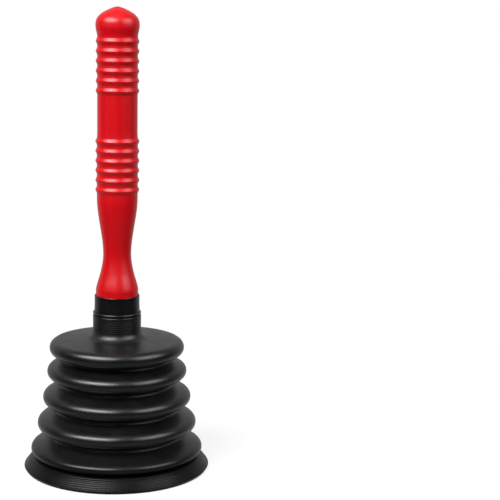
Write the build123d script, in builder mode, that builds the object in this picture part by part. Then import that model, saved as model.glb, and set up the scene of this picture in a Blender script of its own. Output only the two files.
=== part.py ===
from build123d import *
import os
from math import acos, cos, hypot, radians, sin

# A bellows plunger: a hollow red handle plugged onto a black connector, and a rubber bellows cup
# that one bolt clamps between the connector and a plate inside the cup.
#
# Frame: millimetres, +Z up the handle, origin at the middle of the rim's underside. Every piece is
# round about Z, so each is a half section in the XZ plane turned about Z. Points are (radius,
# height). Only the bolt's head, the nut, its pocket and the webs beside it aren't round.

os.makedirs("parts", exist_ok=True)

# ---------------------------------------------------------------- driving dimensions
# bellows cup: the rim
rim_r = 70.0            # outside radius at the widest line
rim_widest_z = 2.4      # height of that line
rim_foot_inset = 1.2    # the corner under it stands this far inside
rim_foot_round = 1.8
lip_width = 12.9        # the flat lip, from the widest line in to the mouth
mouth_edge_round = 0.8
ledge_z = 3.2           # height of the small step just inside the mouth
ledge_width = 1.1
ledge_height = 1.6      # upright wall above the step
ridge_inset = 4.7       # the blunt ridge inside stands this far in from the mouth
ridge_low_z = 7.4
ridge_round = 2.2
skirt_lean = 38.0       # degrees that the ribbed skirt leans in from upright
skirt_edge_round = 1.2
rib_count = 5           # fine ribs round the skirt
rib_pitch = 1.35
rib_height = 0.35
rib_round = 0.8

# bellows cup: the folds
fold_count = 5          # bulges, with the top disc as the first
fold_pitch = 19.8
low_fold_z = 15.6       # crest height of the lowest bulge
low_fold_inset = 5.2    # its crest stands this far inside the rim
top_fold_r = 50.6       # crest radius of the top disc
flare_power = 1.45      # how late the cup flares out on its way down
fold_depth = 10.2       # from a crest in to the valley under it
valley_rise = 0.8       # a valley's height above the middle of its two crests
low_valley_z = 9.7      # the shallow valley between the lowest bulge and the skirt
low_valley_inset = 14.2  # how far inside the rim that valley is
crest_round = 4.1       # outside rounding of a crest
valley_round = 1.8      # outside rounding of a valley
fold_wall = 3.0
disc_rise = 5.6         # the top disc's face above its crest
disc_flat_r = 34.0      # where that face starts to fall to its edge
disc_face_round = 18.0
clamp_wall = 3.2        # rubber between the connector's side and the plate
settling_rounds = 60    # passes that settle where the corners of the folds go

# bellows cup: the neck
neck_set_out = 1.25     # the neck stands this far outside the collar's top edge
neck_bore_r = 12.0
neck_height = 17.9      # above the disc's face
neck_root_round = 5.5
neck_edge_round = 0.6

# sealing ring, between the neck and the collar
seal_thickness = 2.6
seal_groove = 0.85      # its flat side stands this far inside the neck
bead_round = 0.95       # its bead is flush with the neck

# handle: lengths up from its foot's end, drops down from its tip
handle_length = 222.7
handle_wall = 2.4
foot_r = 15.8
foot_length = 13.3      # up to the foot's widest line
waist_r = 10.4
waist_length = 40.0
taper_hollow = 0.8      # how far the middle of the taper bows in between the foot and the waist
palm_r = 15.1           # under the lower rings
palm_drop = 140.0
grip_r = 14.85          # the plain stretch between the two groups of rings
ring_count = 6          # in each of the two groups
ring_pitch = 7.2
ring_half_width = 2.3
upper_ring_r = 15.9
upper_ring_drop = 25.0  # down to the highest ring of the upper group
lower_ring_r = 16.2
lower_ring_drop = 98.1  # down to the highest ring of the lower group
dome_neck_drop = 22.1
dome_r = 16.1
dome_height = 12.4      # from its widest line to the tip
dome_shoulder_r = 13.7
dome_shoulder_drop = 6.2
dome_brow_r = 9.6
dome_brow_drop = 3.3
tip_lean = 0.1          # how much of a point the dome has

# connector: collar round the handle's foot, plug inside it, stem in the bellows' neck
collar_height = 12.4
collar_wall = 0.9       # at its top edge
collar_set_in = 0.55    # its lower edge stands this far inside the neck
collar_lean = 0.12      # how much its side leans in, there
floor_thickness = 3.4   # of the collar, under the handle's foot
plug_height = 14.1
plug_wall = 3.0
plug_chamfer = 1.0
boss_wall = 1.6         # round the nut's pocket, at its corners
web_count = 6           # webs between the boss and the plug's wall
web_width = 2.0
snap_up = 5.5           # snap ring that holds the handle on, above the floor
snap_height = 0.6
snap_half_width = 1.1
stem_relief = 0.6       # the stem ends this far above the plate, so the plate clamps rubber

# clamp: plate, washer, bolt and nut
thread_r = 3.0          # M6
bolt_length = 45.0
bolt_spare = 3.0        # thread standing out of the nut
bolt_tip_chamfer = 0.8
head_across_flats = 10.0
head_height = 4.0
nut_across_flats = 10.0
nut_height = 5.0
washer_r = 9.0
washer_thickness = 1.6
plate_r = 29.8
plate_thickness = 2.6
plate_edge_round = 0.8
hub_r = 12.5            # raised ring round the plate's middle
hub_height = 0.8

# clearances
stem_clearance = 0.05   # stem in the neck's bore
plug_clearance = 0.05   # plug in the handle's foot
foot_clearance = 0.1    # foot in the collar
snap_clearance = 0.05
bolt_clearance = 0.3    # bolt in the connector, plate and washer
thread_clearance = 0.05
nut_clearance = 0.1     # nut in its pocket, on each flat
pocket_spare = 0.6      # depth of the nut's pocket above the nut

# ---------------------------------------------------------------- worked-out places
mouth_r = rim_r - lip_width
ridge_r = mouth_r - ridge_inset
low_fold_r = rim_r - low_fold_inset
low_valley_r = rim_r - low_valley_inset
disc_face_z = low_fold_z + fold_pitch * (fold_count - 1) + disc_rise
neck_top_z = disc_face_z + neck_height
clamp_face_z = disc_face_z - clamp_wall
plate_z = clamp_face_z - plate_thickness
washer_z = plate_z - hub_height - washer_thickness
nut_z = washer_z + bolt_length - bolt_spare - nut_height
rib_sink = rib_round - rib_height
skirt_up = (-sin(radians(skirt_lean)), cos(radians(skirt_lean)))
skirt_out = (skirt_up[1], -skirt_up[0])

socket_r = foot_r + foot_clearance
collar_top_r = socket_r + collar_wall
neck_r = collar_top_r + neck_set_out
seal_r = neck_r - seal_groove
collar_low_z = neck_top_z + seal_thickness
collar_low_r = neck_r - collar_set_in
collar_top_z = collar_low_z + collar_height
floor_z = collar_low_z + floor_thickness
stem_r = neck_bore_r - stem_clearance
stem_z = clamp_face_z + stem_relief
bolt_hole_r = thread_r + bolt_clearance
foot_bore_r = foot_r - handle_wall
plug_r = foot_bore_r - plug_clearance
plug_top_z = floor_z + plug_height
snap_z = floor_z + snap_up
pocket_across_flats = nut_across_flats + 2 * nut_clearance
boss_r = pocket_across_flats / 3**0.5 + boss_wall
boss_top_z = nut_z + nut_height + pocket_spare

handle_top_z = floor_z + handle_length
foot_z = floor_z + foot_length
waist_z = floor_z + waist_length
palm_z = handle_top_z - palm_drop
lower_ring_z = handle_top_z - lower_ring_drop
upper_ring_z = handle_top_z - upper_ring_drop
dome_neck_z = handle_top_z - dome_neck_drop
dome_z = handle_top_z - dome_height


def crest_r(fold):
    """Crest radius of a bulge, counted down from the top disc."""
    share = fold / (fold_count - 1)
    return top_fold_r + (low_fold_r - top_fold_r) * share**flare_power


def crest_z(fold):
    """Crest height of a bulge, counted down from the top disc."""
    return low_fold_z + fold_pitch * (fold_count - 1 - fold)


def valley(fold):
    """Radius and height of the valley under a bulge."""
    if fold == fold_count - 1:
        return low_valley_r, low_valley_z
    return crest_r(fold) - fold_depth, (crest_z(fold) + crest_z(fold + 1)) / 2 + valley_rise


def unit(start, end):
    """Direction from one (radius, height) point to another, one long."""
    length = hypot(end[0] - start[0], end[1] - start[1])
    return (end[0] - start[0]) / length, (end[1] - start[1]) / length


def bend_corner(reach, corner, before, after, rounding):
    """Where the corner goes for its rounding to reach just this radius, at this height."""
    up, down = unit(corner, before), unit(corner, after)
    half_angle = acos(up[0] * down[0] + up[1] * down[1]) / 2
    middle = unit((0, 0), (up[0] + down[0], up[1] + down[1]))
    centre_r = reach[0] + (rounding if middle[0] > 0 else -rounding)
    spread = rounding / sin(half_angle)
    return centre_r - middle[0] * spread, reach[1] - middle[1] * spread


def inset(corners, distance):
    """The corners of the same zigzag with each straight run moved sideways, to the right of its way."""
    moved = []
    for before, corner, after in zip(corners, corners[1:], corners[2:]):
        come, leave = unit(before, corner), unit(corner, after)
        scale = distance / (1 + come[0] * leave[0] + come[1] * leave[1])
        shift_r = (come[1] + leave[1]) * scale
        shift_z = -(come[0] + leave[0]) * scale
        moved.append((corner[0] + shift_r, corner[1] + shift_z))
    return moved


# ---------------------------------------------------------------- bellows cup
# The outside is a zigzag with rounded corners, from the disc's face down to the skirt. The inside
# is the same zigzag one wall further in, so a crest outside is a hollow inside.
reaches = []
for fold in range(fold_count):
    reaches.append((crest_r(fold), crest_z(fold)))
    reaches.append(valley(fold))
fold_rounds = [crest_round, valley_round] * fold_count

rib_places = []
for rib in range(rib_count):
    up = rib * rib_pitch
    rib_places.append((rim_r - rib_round + skirt_up[0] * up, rim_widest_z + skirt_up[1] * up))
skirt_low = (rib_places[0][0] + skirt_out[0] * rib_sink, rib_places[0][1] + skirt_out[1] * rib_sink)
skirt_rise = rib_pitch * (rib_count - 0.5)
skirt_top = (skirt_low[0] + skirt_up[0] * skirt_rise, skirt_low[1] + skirt_up[1] * skirt_rise)

disc_edge = (disc_flat_r, disc_face_z)
folds = list(reaches)
for settling in range(settling_rounds):
    around = [disc_edge, *folds, skirt_top]
    folds = [
        bend_corner(reach, *corners, rounding)
        for reach, *corners, rounding in zip(reaches, around[1:], around, around[2:], fold_rounds)
    ]
hollows = inset([disc_edge, *folds, skirt_top], fold_wall)
hollow_rounds = [crest_round - fold_wall, valley_round + fold_wall] * fold_count
low_run = unit(folds[-2], folds[-1])
ridge_top_z = hollows[-2][1] + (ridge_r - hollows[-2][0]) * low_run[1] / low_run[0]
hollows[-1:] = [(ridge_r, ridge_top_z), (ridge_r, ridge_low_z)]
hollow_rounds[-1:] = [ridge_round, ridge_round]

cup_corners = [(neck_r, neck_top_z), (neck_r, disc_face_z), disc_edge, *folds, skirt_top, skirt_low]
cup_rounds = [neck_edge_round, neck_root_round, disc_face_round, *fold_rounds, skirt_edge_round, 0]
cup_corners += [(rim_r - rim_foot_inset, 0), (mouth_r, 0), (mouth_r, ledge_z)]
cup_rounds += [rim_foot_round, mouth_edge_round, 0]
cup_corners += [(mouth_r - ledge_width, ledge_z), (mouth_r - ledge_width, ledge_z + ledge_height)]
cup_rounds += [0, mouth_edge_round]
cup_corners += [*reversed(hollows), (disc_flat_r, clamp_face_z)]
cup_rounds += [*reversed(hollow_rounds), 0]
cup_corners += [(neck_bore_r, clamp_face_z), (neck_bore_r, neck_top_z)]
cup_rounds += [0, 0]

with BuildPart() as bellows_cup:
    with BuildSketch(Plane.XZ):
        with BuildLine():
            FilletPolyline(*cup_corners, radius=cup_rounds, close=True)
        make_face()
        with Locations(*rib_places):
            Circle(rib_round)
    revolve(axis=Axis.Z)
bellows_cup.part.label = "bellows_cup"
export_step(bellows_cup.part, "parts/bellows_cup.step")

# ---------------------------------------------------------------- handle


def dome_point(side_r, drop, depth):
    """A point of the dome's side, this deep under its skin: the dome shrinks towards its widest line."""
    shrunk_r = side_r * (dome_r - depth) / dome_r
    return shrunk_r, dome_z + (dome_height - drop) * (dome_height - depth) / dome_height


def shaft_line(depth):
    """The handle's side from the foot to the dome's tip, this deep under its skin, as joined curves."""
    upright = [(0, 1), (0, 1)]
    Line((foot_r - depth, floor_z), (foot_r - depth, foot_z))
    Spline(
        (foot_r - depth, foot_z),
        ((foot_r + waist_r) / 2 - taper_hollow - depth, (foot_z + waist_z) / 2),
        (waist_r - depth, waist_z),
        tangents=upright,
    )
    Spline((waist_r - depth, waist_z), (palm_r - depth, palm_z), tangents=upright)
    Line((palm_r - depth, palm_z), (palm_r - depth, lower_ring_z))
    Spline((palm_r - depth, lower_ring_z), (grip_r - depth, lower_ring_z + ring_pitch), tangents=upright)
    Line((grip_r - depth, lower_ring_z + ring_pitch), (grip_r - depth, dome_neck_z))
    Spline((grip_r - depth, dome_neck_z), (dome_r - depth, dome_z), tangents=upright)
    Spline(
        (dome_r - depth, dome_z),
        dome_point(dome_shoulder_r, dome_shoulder_drop, depth),
        dome_point(dome_brow_r, dome_brow_drop, depth),
        (0, handle_top_z - depth),
        tangents=[(0, 1), (-1, tip_lean)],
    )


ring_places = []
for step in range(ring_count):
    ring_places.append((grip_r, upper_ring_r, upper_ring_z - ring_pitch * step))
    ring_places.append((palm_r, lower_ring_r, lower_ring_z - ring_pitch * step))

with BuildPart() as handle:
    with BuildSketch(Plane.XZ):
        with BuildLine():
            shaft_line(0)
            Line((0, handle_top_z), (0, floor_z))
            Line((0, floor_z), (foot_r, floor_z))
        make_face()
        for side_r, ring_r, ring_z in ring_places:
            with BuildLine():
                ThreePointArc(
                    (side_r, ring_z - ring_half_width),
                    (ring_r, ring_z),
                    (side_r, ring_z + ring_half_width),
                )
                Polyline(
                    (side_r, ring_z + ring_half_width),
                    (side_r - handle_wall / 2, ring_z),
                    (side_r, ring_z - ring_half_width),
                )
            make_face()
        with BuildLine():
            shaft_line(handle_wall)
            Line((0, handle_top_z - handle_wall), (0, floor_z))
            Line((0, floor_z), (foot_bore_r, floor_z))
        make_face(mode=Mode.SUBTRACT)
        groove_half = snap_half_width + snap_clearance
        with BuildLine():
            Polyline(
                (foot_bore_r, snap_z - groove_half),
                (plug_r + snap_height + snap_clearance, snap_z),
                (foot_bore_r, snap_z + groove_half),
                close=True,
            )
        make_face(mode=Mode.SUBTRACT)
    revolve(axis=Axis.Z)
handle.part.label = "handle"
export_step(handle.part, "parts/handle.step")

# ---------------------------------------------------------------- connector
# A cup-shaped collar, with a cored plug standing up in it and a stem hanging under it.
with BuildPart() as connector:
    with BuildSketch(Plane.XZ):
        with BuildLine():
            Polyline(
                (bolt_hole_r, stem_z),
                (stem_r, stem_z),
                (stem_r, collar_low_z),
                (collar_low_r, collar_low_z),
            )
            Spline(
                (collar_low_r, collar_low_z),
                (collar_top_r, collar_top_z),
                tangents=[(-collar_lean, 1), (0, 1)],
            )
            Polyline(
                (collar_top_r, collar_top_z),
                (socket_r, collar_top_z),
                (socket_r, floor_z),
                (plug_r, floor_z),
                (plug_r, snap_z - snap_half_width),
                (plug_r + snap_height, snap_z),
                (plug_r, snap_z + snap_half_width),
                (plug_r, plug_top_z - plug_chamfer),
                (plug_r - plug_chamfer, plug_top_z),
                (plug_r - plug_wall, plug_top_z),
                (plug_r - plug_wall, floor_z),
                (boss_r, floor_z),
                (boss_r, boss_top_z),
                (bolt_hole_r, boss_top_z),
                (bolt_hole_r, stem_z),
            )
        make_face()
    revolve(axis=Axis.Z)
    with BuildSketch(Plane.XY.offset(floor_z)):
        web_length = plug_r - plug_wall / 2 - boss_r + boss_wall / 2
        with PolarLocations(boss_r - boss_wall / 2 + web_length / 2, web_count):
            Rectangle(web_length, web_width)
    extrude(amount=boss_top_z - floor_z)
    with BuildSketch(Plane.XY.offset(boss_top_z)):
        RegularPolygon(pocket_across_flats / 2, 6, major_radius=False)
    extrude(amount=nut_z - boss_top_z, mode=Mode.SUBTRACT)
    with BuildSketch(Plane.XY.offset(stem_z)):
        Circle(bolt_hole_r)
    extrude(amount=boss_top_z - stem_z, mode=Mode.SUBTRACT)
connector.part.label = "connector"
export_step(connector.part, "parts/connector.step")

# ---------------------------------------------------------------- sealing ring
with BuildPart() as sealing_ring:
    with BuildSketch(Plane.XZ):
        with BuildLine():
            Polyline(
                (neck_bore_r, neck_top_z),
                (seal_r, neck_top_z),
                (seal_r, collar_low_z),
                (neck_bore_r, collar_low_z),
                close=True,
            )
        make_face()
        with Locations((neck_r - bead_round, collar_low_z - bead_round)):
            Circle(bead_round)
    revolve(axis=Axis.Z)
sealing_ring.part.label = "sealing_ring"
export_step(sealing_ring.part, "parts/sealing_ring.step")

# ---------------------------------------------------------------- clamp plate and washer
with BuildPart() as clamp_plate:
    with BuildSketch(Plane.XZ):
        with BuildLine():
            FilletPolyline(
                (bolt_hole_r, clamp_face_z),
                (bolt_hole_r, plate_z - hub_height),
                (hub_r, plate_z - hub_height),
                (hub_r + hub_height, plate_z),
                (plate_r, plate_z),
                (plate_r, clamp_face_z),
                radius=[0, 0, 0, 0, plate_edge_round, plate_edge_round],
                close=True,
            )
        make_face()
    revolve(axis=Axis.Z)
clamp_plate.part.label = "clamp_plate"
export_step(clamp_plate.part, "parts/clamp_plate.step")

with BuildPart() as bolt_washer:
    with BuildSketch(Plane.XY.offset(washer_z)):
        Circle(washer_r)
        Circle(bolt_hole_r, mode=Mode.SUBTRACT)
    extrude(amount=washer_thickness)
bolt_washer.part.label = "bolt_washer"
export_step(bolt_washer.part, "parts/bolt_washer.step")

# ---------------------------------------------------------------- bolt and nut
with BuildPart() as clamp_bolt:
    with BuildSketch(Plane.XY.offset(washer_z)):
        RegularPolygon(head_across_flats / 2, 6, major_radius=False)
    extrude(amount=-head_height)
    with BuildSketch(Plane.XY.offset(washer_z)):
        Circle(thread_r)
    extrude(amount=bolt_length)
    chamfer(clamp_bolt.edges().group_by(Axis.Z)[-1], bolt_tip_chamfer)
clamp_bolt.part.label = "clamp_bolt"
export_step(clamp_bolt.part, "parts/clamp_bolt.step")

with BuildPart() as clamp_nut:
    with BuildSketch(Plane.XY.offset(nut_z)):
        RegularPolygon(nut_across_flats / 2, 6, major_radius=False)
        Circle(thread_r + thread_clearance, mode=Mode.SUBTRACT)
    extrude(amount=nut_height)
clamp_nut.part.label = "clamp_nut"
export_step(clamp_nut.part, "parts/clamp_nut.step")
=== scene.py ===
# %% [markdown]
# # A bellows plunger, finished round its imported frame
#
# A bellows plunger has a hollow red handle, a black collar that the handle plugs into, and a folding
# rubber cup that one bolt clamps to the collar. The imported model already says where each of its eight
# pieces is and how big it is. This lesson makes the surfaces that a camera sees: every piece is a function
# of two numbers, worked out with numpy for the whole surface at once, and every finish is made of nodes.
#
# The frame is loaded first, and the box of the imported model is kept, because the finished surfaces must
# stay inside it.

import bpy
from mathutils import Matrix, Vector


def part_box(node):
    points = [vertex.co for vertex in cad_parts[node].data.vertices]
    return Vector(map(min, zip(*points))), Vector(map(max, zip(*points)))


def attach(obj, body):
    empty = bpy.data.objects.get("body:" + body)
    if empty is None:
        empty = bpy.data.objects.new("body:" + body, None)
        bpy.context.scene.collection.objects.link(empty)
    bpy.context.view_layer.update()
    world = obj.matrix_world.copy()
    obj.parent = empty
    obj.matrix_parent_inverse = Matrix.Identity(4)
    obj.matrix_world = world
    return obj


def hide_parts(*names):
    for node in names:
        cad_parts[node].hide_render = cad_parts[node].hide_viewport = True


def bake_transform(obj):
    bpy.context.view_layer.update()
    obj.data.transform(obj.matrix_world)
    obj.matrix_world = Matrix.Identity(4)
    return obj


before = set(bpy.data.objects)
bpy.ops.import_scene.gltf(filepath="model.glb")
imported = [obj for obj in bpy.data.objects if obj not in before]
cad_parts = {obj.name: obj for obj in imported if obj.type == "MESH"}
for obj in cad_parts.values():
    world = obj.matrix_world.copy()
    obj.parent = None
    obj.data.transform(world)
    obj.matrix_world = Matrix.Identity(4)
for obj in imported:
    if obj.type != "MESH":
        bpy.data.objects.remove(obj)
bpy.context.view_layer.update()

from math import cos, radians, sin, tan

import bpy
import numpy as np
from mathutils import Matrix

MM = 0.001              # Blender works in metres, and a mould maker in millimetres
TURNS = 144             # steps round the Z axis, a multiple of six so that a hexagon's corners are kept


def box_mm(node):
    """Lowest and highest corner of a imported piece, in millimetres."""
    low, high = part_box(node)
    return np.array(low) / MM, np.array(high) / MM


cup_low, cup_high = box_mm("bellows_cup")
handle_low, handle_high = box_mm("handle")
connector_low, connector_high = box_mm("connector")
seal_low, seal_high = box_mm("sealing_ring")
plate_low, plate_high = box_mm("clamp_plate")
washer_low, washer_high = box_mm("bolt_washer")
bolt_low, bolt_high = box_mm("clamp_bolt")
nut_low, nut_high = box_mm("clamp_nut")
print("rim radius", cup_high[0], "mm, handle tip", handle_high[2], "mm up")

# %% [markdown]
# ## Outlines with round corners
#
# A moulded or turned piece is drawn as half of its section, as on a lathe drawing: a list of corners, each a
# radius and a height. The corners could be bevelled by a modifier after the surface is made, but then all
# of them would get one size. Here each corner has its own rounding, worked out for all corners at once.


# %% Helpers for outlines
def directions(away):
    """Each row made one long. A row of no length stays as it is."""
    length = np.linalg.norm(away, axis=1, keepdims=True)
    return away / np.maximum(length, 1e-9)


def rounded(corners, rounds, steps=9):
    """An outline with each corner swapped for an arc that touches the run before it and the run after it.

    In words: the arc's centre is on the line that halves the corner, as far off as its radius divided by the
    sine of half the corner's angle. The arc turns through half a turn less the whole angle.
    """
    corners = np.asarray(corners, float)
    rounds = np.asarray(rounds, float)
    back = directions(np.roll(corners, 1, axis=0) - corners)
    ahead = directions(np.roll(corners, -1, axis=0) - corners)
    half = np.arccos(np.clip((back * ahead).sum(axis=1), -1, 1)) / 2
    half = np.maximum(half, 1e-6)
    centre = corners + directions(back + ahead) * (rounds / np.sin(half))[:, None]
    first = corners + back * (rounds / np.tan(half))[:, None] - centre
    side = np.sign(back[:, 1] * ahead[:, 0] - back[:, 0] * ahead[:, 1])
    angle = (side * (np.pi - 2 * half))[:, None] * np.linspace(0, 1, steps + 1)
    across = np.cos(angle) * first[:, :1] - np.sin(angle) * first[:, 1:]
    up = np.sin(angle) * first[:, :1] + np.cos(angle) * first[:, 1:]
    points = (centre[:, None, :] + np.stack([across, up], axis=2)).reshape(-1, 2)
    moved = np.linalg.norm(points - np.roll(points, 1, axis=0), axis=1) > 1e-4
    return points[moved]


def stepped(outline, longest, closed=True):
    """The same outline with points added along its long runs.

    In words: new points stand at even lengths of the way round, where no old point is near.
    """
    line = np.vstack([outline, outline[:1]]) if closed else outline
    way = np.append(0, np.cumsum(np.linalg.norm(np.diff(line, axis=0), axis=1)))
    extra = np.arange(longest, way[-1], longest)
    gap = np.abs(extra[:, None] - way).min(axis=1)
    stops = np.sort(np.append(way[:-1] if closed else way, extra[gap > 0.45 * longest]))
    return np.column_stack([np.interp(stops, way, line[:, 0]), np.interp(stops, way, line[:, 1])])


def outward(outline):
    """The outline in the direction that puts the material on its left, so that faces point outwards.

    In words: the area under the closed line is counted with its sign, and a negative one is walked back.
    """
    after = np.roll(outline, -1, axis=0)
    area = (outline[:, 0] * after[:, 1] - after[:, 0] * outline[:, 1]).sum()
    return outline if area > 0 else outline[::-1]


def bend_of(outline, closed=True):
    """How an outline bends at each point: 1 on a tight outside corner, -1 in a tight hollow, 0 along a run.

    In words: the turn from one run to the next, divided by the length over which it turns, and then
    averaged with its neighbours, so that a finish can change gently along the surface.
    """
    before = outline - np.roll(outline, 1, axis=0)
    after = np.roll(outline, -1, axis=0) - outline
    turn = before[:, 0] * after[:, 1] - before[:, 1] * after[:, 0]
    size = np.linalg.norm(before, axis=1) * np.linalg.norm(after, axis=1)
    turn = np.arcsin(np.clip(turn / np.maximum(size, 1e-9), -1, 1))
    if not closed:
        turn[[0, -1]] = 0
    span = (np.linalg.norm(before, axis=1) + np.linalg.norm(after, axis=1)) / 2
    bend = turn / np.maximum(span, 0.2)
    for passing in range(4):
        bend = (np.roll(bend, 1) + 2 * bend + np.roll(bend, -1)) / 4
    return np.clip(bend * 3, -1, 1)


# %% [markdown]
# ## Surfaces of two numbers
#
# Blender's Screw modifier could turn an outline, but it can't make a thread, a hexagon or a wavy fold. So a
# surface here is a grid: its rows follow the outline and its columns go round the axis. Each row may give its
# radius and its height as one number or as an array with one value for each angle, which is how the
# hexagons and the screw thread come out of the same few lines.


# %% Helpers for surfaces
ANGLES = np.arange(TURNS) * 2 * np.pi / TURNS


def hexagon(across_flats, angles=ANGLES):
    """Radius of a hexagon at each angle: half its width across flats over the cosine of the angle from the
    middle of the nearest flat. Its corners lie on the X axis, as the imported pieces' do."""
    return across_flats / 2 / np.cos(angles % (np.pi / 3) - np.pi / 6)


def woven(radius, height, bend, closed=True, angles=ANGLES):
    """Points, faces and bend of the surface whose point at row s and angle a is (r cos a, r sin a, z).

    In words: radius and height are spread over the grid, each face joins four neighbours, and a row that
    lies on the axis is one point, so that the pole is closed with triangles.
    """
    rows = len(radius)
    shape = (rows, len(angles))
    radius = np.broadcast_to(np.reshape(radius, (rows, -1)), shape)
    height = np.broadcast_to(np.reshape(height, (rows, -1)), shape)
    grid = np.stack([radius * np.cos(angles), radius * np.sin(angles), height], axis=2)
    number = np.arange(rows * len(angles)).reshape(shape)
    pole = radius.max(axis=1) < 1e-6
    number[pole] = number[pole][:, :1]
    low = number if closed else number[:-1]
    high = np.roll(number, -1, axis=0) if closed else number[1:]
    faces = np.stack([low, np.roll(low, -1, axis=1), np.roll(high, -1, axis=1), high], axis=2)
    spread = np.broadcast_to(np.reshape(bend, (rows, -1)), shape)
    return grid.reshape(-1, 3), faces.reshape(-1, 4), spread.reshape(-1)


def turned(outline, longest, closed=True):
    """A half section, walked the right way and stepped, carried round the Z axis."""
    outline = stepped(outward(np.asarray(outline, float)), longest, closed)
    return woven(outline[:, 0], outline[:, 1], bend_of(outline, closed), closed)


def piece(name, shells, node, body="grip", crease=38):
    """One finished object of one or more closed shells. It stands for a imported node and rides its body."""
    starts = np.cumsum([0] + [len(points) for points, faces, bend in shells])
    points = np.vstack([points for points, faces, bend in shells]) * MM
    faces = np.vstack([faces + start for start, (_, faces, _) in zip(starts, shells)])
    bend = np.concatenate([bend for _, _, bend in shells])
    used, numbers = np.unique(faces, return_inverse=True)
    faces = numbers.reshape(faces.shape)
    at_start = faces[:, 0] == faces[:, 1]
    at_end = faces[:, 2] == faces[:, 3]
    polygons = faces[~(at_start | at_end)].tolist()
    polygons += faces[at_start & ~at_end][:, [0, 2, 3]].tolist()
    polygons += faces[at_end & ~at_start][:, [0, 1, 2]].tolist()
    mesh = bpy.data.meshes.new(name)
    mesh.from_pydata(points[used].tolist(), [], polygons)
    mesh.attributes.new("bend", "FLOAT", "POINT").data.foreach_set("value", bend[used].astype(np.float32))
    mesh.validate()
    mesh.shade_smooth()
    mesh.set_sharp_from_angle(angle=radians(crease))
    made = bpy.data.objects.new(name, mesh)
    bpy.context.collection.objects.link(made)
    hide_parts(node)
    if body:
        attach(made, body)
    print(name, len(points), "points,", len(polygons), "faces")
    return made


# %% [markdown]
# ## The handle's side
#
# The handle is one hollow moulding. Its side is a few heights with a radius and a slope at each, joined by
# cubic curves, and twelve soft rings stand on it for grip. The dome comes to a blunt point, so it isn't part
# of an ellipse but a power curve. A subdivision surface could give the same shape, but its sizes would drift
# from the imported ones. The foot has a plain band with a slight crease above it, where the taper starts.


# %% Make the handle
def cubic(height, places):
    """Radius at each height, on cubic curves through places of (height, radius, slope).

    In words: between two places the radius is their radii weighted by the smooth step, plus each slope
    weighted by a hump that fades at both ends, which is Hermite's curve.
    """
    places = np.asarray(places, float)
    left = np.clip(np.searchsorted(places[:, 0], height, side="right") - 1, 0, len(places) - 2)
    z0, r0, s0 = places[left].T
    z1, r1, s1 = places[left + 1].T
    t = (height - z0) / (z1 - z0)
    smooth = t * t * (3 - 2 * t)
    ease_out = t * (1 - t) ** 2 * (z1 - z0)
    ease_in = -t * t * (1 - t) * (z1 - z0)
    return r0 * (1 - smooth) + r1 * smooth + s0 * ease_out + s1 * ease_in


def ripples(height, highest, pitch, count, half_width, crest_sharpness):
    """How far rings stand out at each height, from 0 to 1.

    In words: the distance to the nearest ring's middle is turned into a tent that is 1 in the middle and 0 at
    the half width, and the tent is eased at its foot and only slightly at its top.
    """
    nearest = np.clip(np.round((highest - height) / pitch), 0, count - 1)
    tent = np.clip(1 - np.abs(height - (highest - pitch * nearest)) / half_width, 0, 1)
    eased = tent * tent * (3 - 2 * tent)
    return eased * (1 - crest_sharpness) + tent * crest_sharpness


tip_z = handle_high[2]
foot_end_z = handle_low[2]
foot_r = 15.8
waist_r = 10.4
palm_r = 15.1
grip_r = 14.85
dome_r = 16.1
dome_height = 14.0
dome_power = 2.8         # how late the dome turns in on its way up
tip_blunt = 0.4          # how much of the dome's point is worn off
tip_blunt_r = 3.2
handle_wall = 2.4
ring_count = 6
ring_pitch = 7.2
ring_half_width = 2.75
ring_sharpness = 0.3
upper_ring_r = 15.95
upper_ring_z = tip_z - 25.0
lower_ring_r = 16.2
lower_ring_z = tip_z - 98.1

dome_z = tip_z - dome_height
side_places = [
    (foot_end_z, foot_r, 0),
    (foot_end_z + 13.2, foot_r, 0),
    (foot_end_z + 13.4, foot_r - 0.01, -0.14),
    (foot_end_z + 26.6, 12.3, -0.23),
    (foot_end_z + 40.0, waist_r, 0),
    (tip_z - 140.0, palm_r, 0),
    (lower_ring_z, palm_r, 0),
    (lower_ring_z + ring_pitch, grip_r, 0),
    (tip_z - 22.1, grip_r, 0),
    (dome_z, dome_r, 0),
]
side_z = np.arange(foot_end_z, dome_z, 0.45)
side_r = cubic(side_z, side_places)
upper = ripples(side_z, upper_ring_z, ring_pitch, ring_count, ring_half_width, ring_sharpness)
lower = ripples(side_z, lower_ring_z, ring_pitch, ring_count, ring_half_width, ring_sharpness)
ringed_r = side_r + upper * (upper_ring_r - grip_r) + lower * (lower_ring_r - palm_r)


def dome(depth, steps=34):
    """The dome's side from its widest line to its tip, this deep under its skin.

    In words: the radius is the widest one times one less a power of the share of the height, and the shares
    follow a sine, so that they crowd together near the tip. There a small hump is taken off the point.
    """
    share_up = np.sin(np.linspace(0, np.pi / 2, steps))
    r = (dome_r - depth) * (1 - share_up**dome_power)
    r[-1] = 0
    worn = tip_blunt * np.clip(1 - r / tip_blunt_r, 0, 1) ** 2
    return np.column_stack([r, dome_z + (dome_height + tip_blunt - depth) * share_up - worn])


bore_z = np.linspace(foot_end_z, dome_z, 90)[:-1]
bore = np.column_stack([cubic(bore_z, side_places) - handle_wall, bore_z])
foot_edge = 0.5
outside = np.column_stack([ringed_r, side_z])
outside = outside[side_z > foot_end_z + foot_edge]
foot_arc = rounded(
    [(foot_r - handle_wall, foot_end_z), (foot_r, foot_end_z), (foot_r, outside[0, 1])],
    [0, foot_edge, 0],
    steps=4,
)
handle_line = np.vstack([dome(handle_wall)[::-1], bore[::-1], foot_arc[1:-1], outside, dome(0)])
handle = piece("handle_skin", [turned(handle_line, 3.0, closed=False)], "handle")

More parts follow.
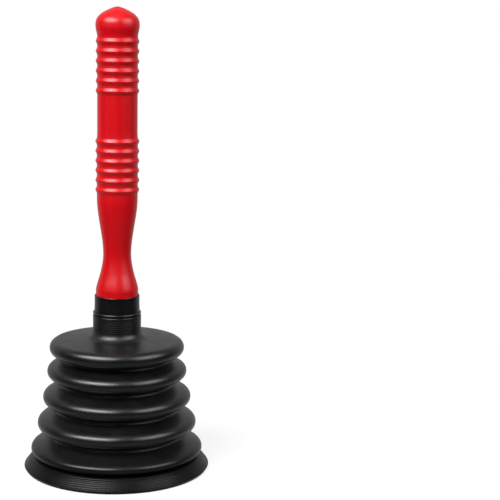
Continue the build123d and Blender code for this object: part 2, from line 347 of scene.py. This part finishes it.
# %% [markdown]
# ## Connector: collar, plug and stem
#
# The collar is a thin black cup round the handle's foot. Inside the handle a plug with a snap ring stands up
# from it, and a stem goes down into the rubber neck. The nut sits in a hexagonal pocket in the middle. All
# of it is one moulding, so it is one closed outline, and only the rows of the pocket change from a circle to
# a hexagon. Six webs brace the pocket, and each is a plain plate that runs a little into its neighbours.

# %% Make the connector
collar_low_z = seal_high[2]
collar_top_z = collar_low_z + 12.4
collar_top_r = 16.8
collar_low_r = 17.15
floor_z = foot_end_z
socket_r = foot_r + 0.1
plug_r = foot_r - handle_wall - 0.05
plug_wall = 3.0
plug_top_z = connector_high[2]
stem_z = connector_low[2]
stem_r = 11.95
bolt_hole_r = 3.3
pocket_flats = 10.2
boss_r = pocket_flats / 3**0.5 + 1.6
boss_top_z = nut_high[2] + 0.6
snap_z = floor_z + 5.5

collar_z = np.linspace(collar_low_z + 0.5, collar_top_z - 0.4, 12)
collar_side = np.column_stack([
    cubic(collar_z, [(collar_low_z, collar_low_r, -0.12), (collar_top_z, collar_top_r, 0)]),
    collar_z,
])
collar_lip = rounded(
    [collar_side[-1], (collar_top_r, collar_top_z), (socket_r, collar_top_z), (socket_r, floor_z)],
    [0, 0.35, 0.3, 0],
    steps=5,
)
connector_corners = [
    (bolt_hole_r, stem_z),
    (stem_r, stem_z),
    (stem_r, collar_low_z),
    (collar_low_r, collar_low_z),
]
low_part = rounded(connector_corners + [tuple(collar_side[0])], [0.3, 0.8, 0, 0.35, 0], steps=4)
plug_corners = [
    (plug_r, floor_z),
    (plug_r, snap_z - 1.1),
    (plug_r + 0.6, snap_z),
    (plug_r, snap_z + 1.1),
    (plug_r, plug_top_z),
    (plug_r - plug_wall, plug_top_z),
    (plug_r - plug_wall, floor_z),
    (boss_r, floor_z),
    (boss_r, boss_top_z),
]
plug_part = rounded(plug_corners, [0, 0.3, 0.25, 0.3, 1.0, 0.3, 0.6, 0.6, 0.3], steps=4)
round_part = np.vstack([low_part, collar_side[1:], collar_lip[1:], plug_part])
pocket_r = hexagon(pocket_flats)
rows_r = [np.full(TURNS, r) for r in round_part[:, 0]]
rows_z = list(round_part[:, 1])
rows_r += [pocket_r + 0.25, pocket_r, pocket_r, np.full(TURNS, bolt_hole_r)]
rows_z += [boss_top_z, boss_top_z - 0.25, nut_low[2], nut_low[2]]
connector_bend = np.append(bend_of(round_part), [0, 0, 0, 0])
connector_body = woven(np.array(rows_r), np.array(rows_z), connector_bend)


def plate_between(angle, near, far, width, low, high):
    """A web: a flat plate along one ray from the axis. Its eight corners are the ends of three spans."""
    along, side, up = np.meshgrid([near, far], [-width / 2, width / 2], [low, high], indexing="ij")
    x = along * cos(angle) - side * sin(angle)
    y = along * sin(angle) + side * cos(angle)
    points = np.stack([x, y, up], axis=3).reshape(-1, 3)
    faces = np.array([[0, 1, 3, 2], [4, 6, 7, 5], [0, 4, 5, 1], [2, 3, 7, 6], [0, 2, 6, 4], [1, 5, 7, 3]])
    return points, faces, np.zeros(8)


webs = [
    plate_between(turn, boss_r - 0.8, plug_r - plug_wall + 0.8, 2.0, floor_z - 0.5, boss_top_z - 0.4)
    for turn in np.arange(6) * np.pi / 3
]
connector = piece("connector_body", [connector_body, *webs], "connector")

# %% [markdown]
# ## Sealing ring
#
# A rubber ring closes the joint between the collar and the neck. Its bead catches the light as one thin
# bright line, with a dark groove under it. It is a single small outline, so turning it is the shortest way.

# %% Make the sealing ring
neck_r = 18.05
neck_bore_r = 12.0
bead_round = 0.95
seal_flat_r = neck_r - 0.85
seal_line = rounded(
    [
        (neck_bore_r, seal_low[2]),
        (seal_flat_r, seal_low[2]),
        (seal_flat_r, seal_high[2] - 2 * bead_round),
        (neck_r, seal_high[2] - 2 * bead_round),
        (neck_r, seal_high[2]),
        (neck_bore_r, seal_high[2]),
    ],
    [0.3, 0.3, 0.25, 0.9 * bead_round, 0.9 * bead_round, 0.3],
)
sealing_ring = piece("sealing_ring_skin", [turned(seal_line, 1.2)], "sealing_ring")

# %% [markdown]
# ## The bellows cup's folds
#
# The cup is one thick rubber moulding. Its outside is a zigzag with rounded corners, and its inside is the
# same zigzag one wall further in. Each bulge is given by how far out it reaches, and a rounded corner cuts
# some of that reach away, so the corners are moved out, half of the way each time, until the arcs reach just
# as far as they should. The roundings are fatter at the top disc and slimmer at the lowest bulge. Sculpting
# the folds would be quicker for one look, but then the cup couldn't follow its own sizes.

# %% Work out the folds
rim_r = cup_high[0]
neck_top_z = cup_high[2]
fold_count = 5
fold_pitch = 19.8
low_fold_z = 15.6
low_fold_r = rim_r - 5.2
top_fold_r = 50.6
flare_power = 1.45
fold_depth = 10.2
crest_rounds = np.array([5.6, 5.2, 5.2, 5.2, 3.6])
valley_rounds = np.array([1.8, 1.8, 1.8, 1.8, 0.8])      # the lowest valley is only a narrow groove
fold_wall = 3.0
disc_rise = 5.6          # the disc's face is this far above its bulge's middle
disc_face_z = low_fold_z + fold_pitch * (fold_count - 1) + disc_rise
disc_flat_r = 24.0
disc_droop = 1.6         # the top disc's edge hangs this far below the even spacing
valley_lift = 0.8        # the valleys sit a little above the middle between two bulges
groove_set_in = 13.0
groove_z = 10.9
settling_rounds = 120
clamp_face_z = plate_high[2]

share = np.arange(fold_count) / (fold_count - 1)
crest_r = top_fold_r + (low_fold_r - top_fold_r) * share**flare_power
crest_z = low_fold_z + fold_pitch * (fold_count - 1) * (1 - share)
crest_z[0] -= disc_droop
valley_r = np.append(crest_r[:-1] - fold_depth, rim_r - groove_set_in)
valley_z = np.append((crest_z[:-1] + crest_z[1:]) / 2 + valley_lift, groove_z)
reach = np.stack([crest_r, crest_z, valley_r, valley_z], axis=1).reshape(-1, 2)
fold_rounds = np.stack([crest_rounds, valley_rounds], axis=1).reshape(-1)

skirt_lean = radians(38)
skirt_up = np.array([-sin(skirt_lean), cos(skirt_lean)])
rib_pitch = 1.6
rib_height = 0.26
rib_rows = 4.1
skirt_swell = np.array([-3.2, 2.4])      # the skirt swells over this last step up to the groove
skirt_low = np.array([rim_r - rib_height, 2.4])
skirt_top = skirt_low + skirt_up * rib_rows * rib_pitch
skirt_crown = skirt_top + skirt_swell

corners = reach.copy()
for settling in range(settling_rounds):
    line = np.vstack([(disc_flat_r, disc_face_z), corners, skirt_crown])
    up = directions(line[:-2] - line[1:-1])
    down = directions(line[2:] - line[1:-1])
    middle = directions(up + down)
    half = np.arccos((up * down).sum(axis=1)) / 2
    centre_r = reach[:, 0] + np.sign(middle[:, 0]) * fold_rounds
    settled = np.column_stack([centre_r, reach[:, 1]]) - middle * (fold_rounds / np.sin(half))[:, None]
    corners = (corners + settled) / 2
print("crests at", crest_r.round(1), "mm out and", crest_z.round(1), "mm up")

# %% [markdown]
# ## The cup as one closed skin
#
# The inside line is the outside line with every run moved inwards by the wall. Where two moved runs meet
# depends on how sharply they turn. After that come the blunt inner ridge, the small step inside the mouth and
# the flat lip.

# %% Draw the cup's outline
zigzag = np.vstack([(disc_flat_r, disc_face_z), corners, skirt_crown])
come = directions(zigzag[1:-1] - zigzag[:-2])
leave = directions(zigzag[2:] - zigzag[1:-1])
scale = fold_wall / (1 + (come * leave).sum(axis=1))
inwards = np.column_stack([come[:, 1] + leave[:, 1], -come[:, 0] - leave[:, 0]])
hollows = zigzag[1:-1] + inwards * scale[:, None]
hollow_rounds = fold_rounds + np.tile([-fold_wall, fold_wall], fold_count)
lip_width = 12.9
ridge_set_in = 4.7
mouth_r = rim_r - lip_width
ridge_r = mouth_r - ridge_set_in
ridge_low_z = 7.4
ledge_r = mouth_r - 1.1
ledge_z = 3.2
low_run = corners[-1] - corners[-2]
ridge_top_z = hollows[-2, 1] + (ridge_r - hollows[-2, 0]) * low_run[1] / low_run[0]

neck_corners = [(neck_bore_r, neck_top_z), (neck_r, neck_top_z), (neck_r, disc_face_z)]
outer_corners = [*neck_corners, *zigzag, tuple(skirt_top)]
outer_rounds = [0.4, 0.6, 6.2, 18.0, *fold_rounds, 1.4, 0.4]
lip_corners = [tuple(skirt_low), (rim_r - 1.2, 0), (mouth_r, 0), (mouth_r, ledge_z), (ledge_r, ledge_z)]
lip_rounds = [0, 1.6, 0.8, 0.25, 0.3]
inner_corners = [(ledge_r, 4.8), (ridge_r, ridge_low_z), (ridge_r, ridge_top_z), *hollows[-2::-1]]
inner_rounds = [0.8, 2.2, 2.2, *hollow_rounds[-2::-1]]
top_corners = [(plate_high[0] + 1.5, clamp_face_z), (neck_bore_r, clamp_face_z)]
cup_line = rounded(
    outer_corners + lip_corners + inner_corners + top_corners,
    outer_rounds + lip_rounds + inner_rounds + [3.0, 0.4],
    steps=8,
)
cup_line = stepped(outward(cup_line), 2.4)
print("the cup's outline has", len(cup_line), "points")

# %% [markdown]
# ## Ribs, mould lines and the cup's mesh
#
# The skirt has fine ribs, and they run on into the groove above it. The neck has shallow lines left by the
# mould. Both could be bumps in the rubber's finish, but at this size they are real shapes that catch the
# light, so they are waves along the outline. The outline first gets many more points just there. The folds
# are also given slow waves of about a tenth of a millimetre, so that they don't look machined.


# %% Make the bellows cup
LINE_DEPTH = 0.11
LINE_PITCH = 1.55


def finer(outline, chosen, count):
    """The outline with each run between two chosen points cut into this many."""
    after = np.roll(outline, -1, axis=0)
    parts = np.where(chosen & np.roll(chosen, -1), count, 1)
    start = np.repeat(np.arange(len(outline)), parts)
    first = np.cumsum(parts) - parts
    step = (np.arange(len(start)) - first[start]) / parts[start]
    return outline[start] + (after[start] - outline[start]) * step[:, None]


def up_the_skirt(outline):
    """How far each point is along the outline above the foot of the skirt, and below it with a minus sign."""
    way = np.append(0, np.cumsum(np.linalg.norm(np.diff(outline, axis=0), axis=1)))
    foot = np.linalg.norm(outline - skirt_low, axis=1).argmin()
    return way - way[foot]


def on_the_skirt(outline, up):
    """True from the foot of the skirt up to the groove under the lowest bulge."""
    return (up > -0.5 * rib_pitch) & (outline[:, 0] > valley_r[-1] + 1) & (outline[:, 1] < valley_z[-1])


def ribbed(outline):
    """The outline with ribs on the skirt and fine lines on the neck.

    In words: the way up the skirt sets the phase of a row of half circles, which push the outline out along
    its own square direction. On the neck the height sets the phase of shallow rounded grooves, which fade
    before the fillet and the edge.
    """
    run = directions(np.roll(outline, -1, axis=0) - np.roll(outline, 1, axis=0))
    square = np.column_stack([run[:, 1], -run[:, 0]])
    up = up_the_skirt(outline)
    phase = (up / rib_pitch + 0.5) % 1 - 0.5
    rib = rib_height * np.sqrt(np.clip(1 - (phase / 0.46) ** 2, 0, 1)) * on_the_skirt(outline, up)
    on_neck = np.abs(outline[:, 0] - neck_r) < 0.01
    fade = np.clip(np.minimum(outline[:, 1] - disc_face_z - 6.0, neck_top_z - 1.2 - outline[:, 1]), 0, 1)
    line = -LINE_DEPTH * np.sin(np.pi * outline[:, 1] / LINE_PITCH) ** 8 * fade * on_neck
    return outline + square * rib[:, None] + np.array([1, 0]) * line[:, None]


ribs_here = on_the_skirt(cup_line, up_the_skirt(cup_line))
lines_here = (np.abs(cup_line[:, 0] - neck_r) < 0.01) & (cup_line[:, 1] > disc_face_z + 5)
fine = ribbed(finer(cup_line, ribs_here | lines_here, 14))
spare = np.linalg.norm(fine - np.roll(fine, 1, axis=0), axis=1) > 0.02
fine = fine[spare]

drift = 0.10 * np.sin(3 * ANGLES + 0.7) + 0.07 * np.sin(5 * ANGLES + 2.1)
soft = np.clip((fine[:, 1] - 12) / 12, 0, 1) * np.clip((96 - fine[:, 1]) / 12, 0, 1)
wave_r = drift * soft[:, None]
wave_z = 0.12 * np.sin(2 * ANGLES + fine[:, 1:] / 9) * soft[:, None]
cup_shell = woven(fine[:, :1] + wave_r, fine[:, 1:] + wave_z, bend_of(fine))
bellows = piece("bellows_skin", [cup_shell], "bellows_cup", body=None)
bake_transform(bellows)

# %% [markdown]
# ## Clamp plate and washer
#
# The plate spreads the bolt's pull over the rubber, and it closes the top of the cup's inside. Both it and
# the washer are turned outlines. The washer was punched from sheet, so one edge is rounder than the other.

# %% Make the plate and the washer
plate_r = plate_high[0]
hub_r = 12.5
plate_face_z = clamp_face_z - 2.6
plate_line = rounded(
    [
        (bolt_hole_r, clamp_face_z),
        (bolt_hole_r, plate_low[2]),
        (hub_r, plate_low[2]),
        (hub_r + 0.8, plate_face_z),
        (plate_r - 3.2, plate_face_z),
        (plate_r - 2.6, plate_face_z + 0.35),
        (plate_r - 1.9, plate_face_z),
        (plate_r, plate_face_z),
        (plate_r, clamp_face_z),
    ],
    [0.2, 0.4, 0.4, 0.4, 0.2, 0.3, 0.2, 0.8, 0.8],
    steps=6,
)
clamp_plate = piece("clamp_plate_disc", [turned(plate_line, 1.6)], "clamp_plate")

washer_r = washer_high[0]
washer_line = rounded(
    [
        (bolt_hole_r, washer_high[2]),
        (bolt_hole_r, washer_low[2]),
        (washer_r, washer_low[2]),
        (washer_r, washer_high[2]),
    ],
    [0.15, 0.2, 0.5, 0.15],
    steps=6,
)
bolt_washer = piece("bolt_washer_disc", [turned(washer_line, 0.8)], "bolt_washer")

# %% [markdown]
# ## Bolt and nut
#
# A thread is the same outline at every angle, only slid along the axis as the angle grows, so its radius is a
# function of the height less the angle's share of the pitch. A hexagon head is a hexagonal prism cut by a
# flat cone, which is why its flats end in curves. Both are single rows of arrays here.


# %% Make the bolt and the nut
def thread_r(height, crest, root, pitch=1.0):
    """Radius of a screw thread over a grid of heights and angles.

    In words: how far the height is past the last crest line, as a share of the pitch, sets a tent between the
    root and the crest, and the tent's top and foot are cut flat.
    """
    phase = (height / pitch - ANGLES / (2 * np.pi)) % 1
    tent = np.abs(phase - 0.5) * 2
    return root + (crest - root) * np.clip((tent - 0.12) / 0.76, 0, 1)


thread_step = 0.125      # eight rows for each turn of the thread
bolt_r = 3.0
bolt_root_r = 2.5
head_flats = 10.0
head_hex = hexagon(head_flats)
cone = tan(radians(30))
face_r = 0.47 * head_flats
head_top = washer_low[2]
head_base = bolt_low[2]
ring = np.ones(TURNS)

shank_z = np.arange(head_top, bolt_high[2] - 0.8, thread_step)[:, None] * ring
run_out = np.clip((shank_z - head_top - 1.2) / 1.0, 0, 1)
shank_r = bolt_r - (bolt_r - thread_r(shank_z, bolt_r, bolt_root_r)) * run_out
end_r = np.array([[bolt_root_r], [bolt_root_r - 0.3], [0]]) * ring
end_z = np.array([[bolt_high[2] - 0.35], [bolt_high[2]], [bolt_high[2]]]) * ring
head_r = np.array([0 * ring, 2.6 * ring, 2.9 * ring, face_r * ring, head_hex, head_hex, head_hex - 0.3])
head_z = np.array([
    (head_base + 0.25) * ring,
    (head_base + 0.25) * ring,
    head_base * ring,
    head_base * ring,
    head_base + (head_hex - face_r) * cone,
    (head_top - 0.2) * ring,
    head_top * ring,
])
bolt_rows_r = np.vstack([head_r, shank_r, end_r])
bolt_rows_z = np.vstack([head_z, shank_z, end_z])
bolt_shell = woven(bolt_rows_r, bolt_rows_z, np.zeros(len(bolt_rows_r)), closed=False)
clamp_bolt = piece("clamp_bolt_steel", [bolt_shell], "clamp_bolt", crease=30)

nut_flats = 10.0
nut_hex = hexagon(nut_flats)
nut_mouth_r = 3.3
bore_gap = 0.06
nut_z = np.arange(nut_high[2] - 0.5, nut_low[2] + 0.5, -thread_step)[:, None] * ring
bore_r = thread_r(nut_z, bolt_r, bolt_root_r) + bore_gap
edge_rise = (nut_hex - face_r) * cone
nut_r = np.vstack([
    nut_mouth_r * ring,
    face_r * ring,
    nut_hex,
    nut_hex,
    face_r * ring,
    nut_mouth_r * ring,
    bore_r,
])
nut_rows_z = np.vstack([
    nut_low[2] * ring,
    nut_low[2] * ring,
    nut_low[2] + edge_rise,
    nut_high[2] - edge_rise,
    nut_high[2] * ring,
    nut_high[2] * ring,
    nut_z,
])
nut_shell = woven(nut_r, nut_rows_z, np.zeros(len(nut_r)))
clamp_nut = piece("clamp_nut_steel", [nut_shell], "clamp_nut", crease=30)

# %% [markdown]
# ## Finishes made of nodes
#
# Each finish starts from one shader whose even numbers are set on its own sockets. What changes over the
# surface comes from textures on Object coordinates, which are in metres here, and from the bend that the
# surfaces carry: an outside corner gets rubbed smooth, a hollow in the rubber keeps dust, and a hollow in the
# red plastic gets a painted shade.


# %% Helpers for finishes
def set_range(spread, start, end, low, high):
    """Tell a Map Range node to go from low to high as its value goes from start to end."""
    for socket, value in zip(("From Min", "From Max", "To Min", "To Max"), (start, end, low, high)):
        spread.inputs[socket].default_value = value


class Finish:
    """A material under construction: its shader, and short calls for the nodes that feed it."""

    def __init__(self, name, **even):
        self.material = bpy.data.materials.new(name)
        self.material.use_nodes = True
        self.tree = self.material.node_tree
        self.shader = self.tree.nodes["Principled BSDF"]
        for socket, value in even.items():
            self.shader.inputs[socket.replace("_", " ")].default_value = value
        self.place = self.node("ShaderNodeTexCoord").outputs["Object"]

    def node(self, kind, **settings):
        made = self.tree.nodes.new(kind)
        for key, value in settings.items():
            setattr(made, key, value)
        return made

    def feed(self, source, target):
        self.tree.links.new(source, target)

    def noise(self, scale, detail=3.0, stretch=(1, 1, 1)):
        """Cloudy noise of about this many blobs a metre, squeezed by stretch along each axis."""
        mapping = self.node("ShaderNodeMapping")
        mapping.inputs["Scale"].default_value = stretch
        texture = self.node("ShaderNodeTexNoise")
        texture.inputs["Scale"].default_value = scale
        texture.inputs["Detail"].default_value = detail
        self.feed(self.place, mapping.inputs["Vector"])
        self.feed(mapping.outputs["Vector"], texture.inputs["Vector"])
        return texture.outputs["Fac"]

    def bend(self):
        """How the surface bends here, from -1 in a hollow to 1 on a corner."""
        return self.node("ShaderNodeAttribute", attribute_name="bend").outputs["Fac"]

    def height(self):
        """How high this point is, in metres."""
        split = self.node("ShaderNodeSeparateXYZ")
        self.feed(self.place, split.inputs["Vector"])
        return split.outputs["Z"]

    def between(self, amount, low, high, start=0.0, end=1.0):
        """A number that goes from low to high as amount goes from start to end."""
        spread = self.node("ShaderNodeMapRange")
        set_range(spread, start, end, low, high)
        self.feed(amount, spread.inputs["Value"])
        return spread.outputs["Result"]

    def sum(self, first, second):
        added = self.node("ShaderNodeMath", operation="ADD")
        self.feed(first, added.inputs[0])
        self.feed(second, added.inputs[1])
        return added.outputs["Value"]

    def tint(self, amount, first, second):
        """A colour that goes from the first to the second as amount goes from 0 to 1."""
        mix = self.node("ShaderNodeMix", data_type="RGBA")
        self.feed(amount, mix.inputs["Factor"])
        for socket, colour in (("A", first), ("B", second)):
            target = [s for s in mix.inputs if s.name == socket and s.type == "RGBA"][0]
            if isinstance(colour, tuple):
                target.default_value = (*colour, 1)
            else:
                self.feed(colour, target)
        return [s for s in mix.outputs if s.type == "RGBA"][0]

    def relief(self, height, depth, strength=1.0, under=None):
        """A bump this deep in metres, laid over another bump if one is given."""
        bump = self.node("ShaderNodeBump")
        bump.inputs["Distance"].default_value = depth
        bump.inputs["Strength"].default_value = strength
        self.feed(height, bump.inputs["Height"])
        if under:
            self.feed(under, bump.inputs["Normal"])
        return bump.outputs["Normal"]

    def set(self, **fed):
        for socket, source in fed.items():
            self.feed(source, self.shader.inputs[socket.replace("_", " ")])
        return self.material


# %% [markdown]
# ## Red plastic
#
# The handle is glossy moulded plastic that hands have dulled a little. A single red looks like a toy, so the
# colour drifts slightly, and the gloss is broken by long faint scuffs along the handle and a fine skin like
# orange peel. The rings' crests are rubbed smoother than the hollows between them. A little subsurface
# scattering keeps the shaded side warm. Its amount is chosen, not known for this plastic.
# The handle's hollows, such as those between the rings, are painted a slightly darker red as painted shade.

# %% Make the red plastic
red = Finish("red_plastic", Specular_IOR_Level=0.42, Subsurface_Weight=0.2, Subsurface_Scale=0.004)
red.shader.inputs["Subsurface Radius"].default_value = (1.0, 0.12, 0.1)
cloud = red.noise(9, detail=2)
scuffs = red.noise(260, detail=4, stretch=(1, 1, 0.06))
peel = red.noise(1500, detail=2)
deep_red = red.tint(red.between(cloud, 0, 1, 0.35, 0.65), (0.43, 0.0006, 0.0035), (0.48, 0.0012, 0.0050))
# Painted shade: the hollows are mixed a little towards a darker red, for the shade that falls there.
painted_hollow_shade = red.between(red.bend(), 0.06, 0, -0.6, 0)
red_colour = red.tint(painted_hollow_shade, deep_red, (0.30, 0.001, 0.003))
red_rough = red.sum(
    red.between(scuffs, -0.02, 0.05, 0.35, 0.7),
    red.between(red.bend(), 0.35, 0.32, -0.5, 0.7),
)
red_skin = red.relief(peel, 0.00003, 0.5, under=red.relief(cloud, 0.0004, 0.35))
red.set(Base_Color=red_colour, Roughness=red_rough, Normal=red_skin)

# %% [markdown]
# ## Black rubber
#
# Rubber is dark, but not even: its hollows hold pale dust, its crests are polished by use, and its skin is a
# fine dull grain. The bend drives the dust, a noise breaks the gloss, and two sizes of bump make the grain.
# The gloss also falls off towards the rim. That is a choice of looks, made together with low ribs so that
# the skirt glitters less, and not something known about this rubber.

# %% Make the rubber
rubber = Finish("black_rubber")
patches = rubber.noise(38, detail=5)
grain = rubber.noise(2600, detail=2)
smears = rubber.noise(120, detail=4, stretch=(1, 1, 0.3))
patchy = rubber.between(patches, 0, 1, 0.3, 0.7)
base_black = rubber.tint(patchy, (0.0014, 0.0014, 0.0016), (0.0028, 0.0028, 0.0032))
dust = rubber.between(rubber.bend(), 0.35, 0, -0.8, -0.05)
rubber_colour = rubber.tint(dust, base_black, (0.006, 0.006, 0.0062))
rubber_rough = rubber.sum(
    rubber.between(smears, -0.02, 0.04, 0.35, 0.65),
    rubber.between(rubber.bend(), 0.40, 0.32, -0.6, 0.6),
)
rubber_skin = rubber.relief(grain, 0.00003, 0.3, under=rubber.relief(patches, 0.0002, 0.15))
rubber_gloss = rubber.between(rubber.height(), 0.16, 0.5, 0.012, 0.026)
rubber.set(
    Base_Color=rubber_colour,
    Roughness=rubber_rough,
    Normal=rubber_skin,
    Specular_IOR_Level=rubber_gloss,
)

# %% [markdown]
# ## Black and grey plastics
#
# The collar is harder and smoother than the rubber. The clamp plate is a greyer, cheaper moulding with
# faint turning marks from its mould, so rings of a wave texture break its gloss.


# %% Make the plastics
def hard_plastic(name, dark, light, rough, mould_marks):
    """Smooth dark plastic: a drifting tint, a broken gloss, and mould marks as rings round the Z axis."""
    made = Finish(name, Specular_IOR_Level=0.5)
    drift = made.noise(45, detail=4)
    fine_grain = made.noise(1800, detail=3)
    rings = made.node("ShaderNodeTexWave", wave_type="RINGS", rings_direction="Z")
    rings.inputs["Scale"].default_value = 260
    rings.inputs["Distortion"].default_value = 0.6
    made.feed(made.place, rings.inputs["Vector"])
    colour = made.tint(made.between(drift, 0, 1, 0.3, 0.7), dark, light)
    gloss = made.sum(
        made.between(drift, rough - 0.04, rough + 0.05, 0.3, 0.7),
        made.between(made.bend(), 0.03, -0.05, -0.6, 0.6),
    )
    skin = made.relief(fine_grain, 0.00003, 0.4, under=made.relief(rings.outputs["Fac"], mould_marks, 0.4))
    return made.set(Base_Color=colour, Roughness=gloss, Normal=skin)


collar_black = hard_plastic("collar_black", (0.0012, 0.0012, 0.0014), (0.0024, 0.0024, 0.0028), 0.3, 0.00001)
seal_black = hard_plastic("seal_black", (0.004, 0.004, 0.0045), (0.007, 0.007, 0.0078), 0.28, 0.00001)
plate_grey = hard_plastic("plate_grey", (0.016, 0.016, 0.0175), (0.026, 0.026, 0.028), 0.38, 0.00006)

# %% [markdown]
# ## Zinc-plated steel
#
# Cheap bolts, nuts and washers are zinc plated: bright metal with a faint warm and blue bloom and a slightly
# pitted skin. Two noises at different sizes give the bloom and the pits.

# %% Make the zinc plating
zinc = Finish("zinc_steel", Metallic=1.0)
bloom = zinc.noise(160, detail=3)
pits = zinc.noise(3000, detail=4)
zinc_colour = zinc.tint(zinc.between(bloom, 0, 1, 0.35, 0.65), (0.58, 0.55, 0.47), (0.52, 0.55, 0.60))
zinc_rough = zinc.sum(zinc.between(bloom, 0.26, 0.36, 0.3, 0.7), zinc.between(pits, -0.03, 0.05, 0.3, 0.7))
zinc.set(Base_Color=zinc_colour, Roughness=zinc_rough, Normal=zinc.relief(pits, 0.00004, 0.5))

finishes = {
    handle: red.material,
    connector: collar_black,
    sealing_ring: seal_black,
    bellows: rubber.material,
    clamp_plate: plate_grey,
    bolt_washer: zinc.material,
    clamp_bolt: zinc.material,
    clamp_nut: zinc.material,
}
for made, material in finishes.items():
    made.data.materials.append(material)

# %% [markdown]
# ## Floor, light and camera
#
# The object stands on a plain pale floor. A large soft light on the upper left and a weaker one on the upper
# right give the two bands of highlight that show a round shape best. The sky is dim to the front, so that
# black stays black, and pale to the back, so that a thin reflection draws the edges. Glossy black shows
# whatever stands round it, so the floor is a sheer disc, only as wide as a table, and round it the camera
# sees a pale backdrop. All of this suits the front view, and from behind the handle looks darker.

# %% Lay the floor and light it
floor_r = 0.45
floor_corners = 96
floor_ring = np.arange(floor_corners) * 2 * np.pi / floor_corners
floor_points = np.column_stack([floor_r * np.cos(floor_ring), floor_r * np.sin(floor_ring), 0 * floor_ring])
floor_mesh = bpy.data.meshes.new("floor")
floor_mesh.from_pydata(floor_points.tolist(), [], [list(range(floor_corners))])
floor = bpy.data.objects.new("floor", floor_mesh)
bpy.context.collection.objects.link(floor)
paper = Finish("pale_floor", Roughness=0.8)
paper_colour = paper.tint(paper.noise(3, detail=2), (0.86, 0.86, 0.86), (0.89, 0.89, 0.89))
from_middle = paper.node("ShaderNodeVectorMath", operation="LENGTH")
paper.feed(paper.place, from_middle.inputs[0])
sheer = paper.between(from_middle.outputs["Value"], 0.22, 0, 0.2, 0.42)
floor_mesh.materials.append(paper.set(Base_Color=paper_colour, Alpha=sheer))


AIM_Z = 0.17            # the lights face this height, the middle of the object


def soft_light(name, azimuth, elevation, distance, size, power, spread):
    """A soft box that faces the middle of the object.

    In words: azimuth is how far it stands to the right of the camera's side, in degrees, and spread is the
    angle of the cone that its grid lets out.
    """
    light = bpy.data.lights.new(name, "AREA")
    light.shape = "RECTANGLE"
    light.size = size[0]
    light.size_y = size[1]
    light.energy = power
    light.spread = radians(spread)
    lamp = bpy.data.objects.new(name, light)
    around, above = radians(azimuth), radians(elevation)
    away = np.array([sin(around) * cos(above), -cos(around) * cos(above), sin(above)])
    right = np.array([cos(around), sin(around), 0])
    top = np.cross(away, right)
    turn = Matrix((right, top, away)).transposed().to_4x4()
    turn.translation = away * distance + np.array([0, 0, AIM_Z])
    lamp.matrix_world = turn
    bpy.context.collection.objects.link(lamp)
    return lamp


soft_light("left_box", -42, 44, 1.5, (1.5, 0.75), 17, 100)
soft_light("right_box", 60, 34, 1.6, (1.3, 1.1), 10, 120)
soft_light("top_box", 10, 84, 1.9, (1.2, 1.2), 1.5, 140)

world = bpy.data.worlds.new("studio")
bpy.context.scene.world = world
world.use_nodes = True
sky = world.node_tree
backdrop = sky.nodes["Background"]
backdrop.inputs["Color"].default_value = (1, 1, 1, 1)
direction = sky.nodes.new("ShaderNodeTexCoord")
split = sky.nodes.new("ShaderNodeSeparateXYZ")
sky.links.new(direction.outputs["Generated"], split.inputs["Vector"])
glow = sky.nodes.new("ShaderNodeMapRange")
glow.interpolation_type = "SMOOTHSTEP"
set_range(glow, 0.0, 0.8, 0.006, 0.5)
sky.links.new(split.outputs["Y"], glow.inputs["Value"])
seen = sky.nodes.new("ShaderNodeLightPath")
choose = sky.nodes.new("ShaderNodeMix")
choose.inputs["B"].default_value = 1.0
sky.links.new(seen.outputs["Is Camera Ray"], choose.inputs["Factor"])
sky.links.new(glow.outputs["Result"], choose.inputs["A"])
sky.links.new(choose.outputs["Result"], backdrop.inputs["Strength"])
bpy.context.scene.view_settings.view_transform = "Standard"

# %% [markdown]
# ## The camera
#
# A long lens a metre away keeps the sides nearly upright. The camera stands a little above the object and
# looks down by ten degrees, turned to the right so that the object stands left of the middle.

# %% Place the camera
lens_mm = 108
camera_back = 1.1075
camera_up = 0.3657
yaw, pitch, roll = radians(5.14), radians(10.11), radians(1.01)
ahead = np.array([sin(yaw) * cos(pitch), cos(yaw) * cos(pitch), -sin(pitch)])
right = np.array([cos(yaw), -sin(yaw), 0])
above = np.cross(right, ahead)
turned_right = cos(roll) * right + sin(roll) * above
turned_up = -sin(roll) * right + cos(roll) * above
camera_data = bpy.data.cameras.new("camera")
camera_data.lens = lens_mm
camera_data.sensor_width = 36
camera_data.clip_end = 100
camera = bpy.data.objects.new("camera", camera_data)
pose = Matrix((turned_right, turned_up, -ahead)).transposed().to_4x4()
pose.translation = (0, -camera_back, camera_up)
camera.matrix_world = pose
bpy.context.collection.objects.link(camera)
bpy.context.scene.camera = camera
